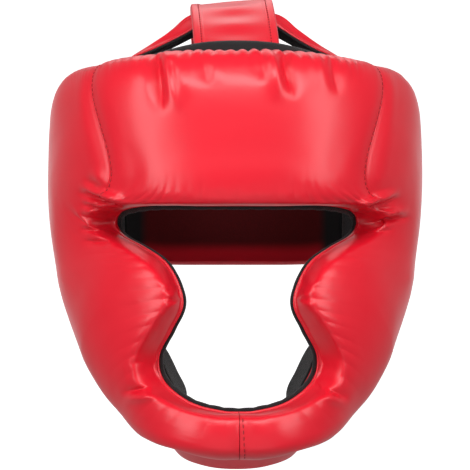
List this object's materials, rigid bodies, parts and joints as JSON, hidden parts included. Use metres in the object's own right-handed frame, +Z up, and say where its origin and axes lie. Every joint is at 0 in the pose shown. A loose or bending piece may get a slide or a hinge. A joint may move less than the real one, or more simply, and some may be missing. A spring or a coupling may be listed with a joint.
{
  "type": "full face boxing headgear",
  "caption": "Padded full face boxing headgear: leather brow, cheek and chin pads round a keyhole face opening, with a rear band, crown straps and a chin strap.",
  "frame": {"origin": "crown of the wearer's head: the middle of the underside of the crown strap", "axes": "+Z up, -Y towards the front of the face, +X towards the wearer's left"},
  "size_m": [0.216, 0.2454, 0.269],
  "materials": {
    "red_leather": "glossy coated leather with a fine grain",
    "black_lining": "matt brushed cloth"
  },
  "bodies": {
    "root": {"brow_pad": "red_leather", "side_pad_left": "red_leather", "side_pad_right": "red_leather", "lining": "black_lining", "rear_band": "red_leather", "crown_strap": "red_leather", "crown_tab": "red_leather", "chin_strap": "red_leather"}
  },
  "joints": []
}
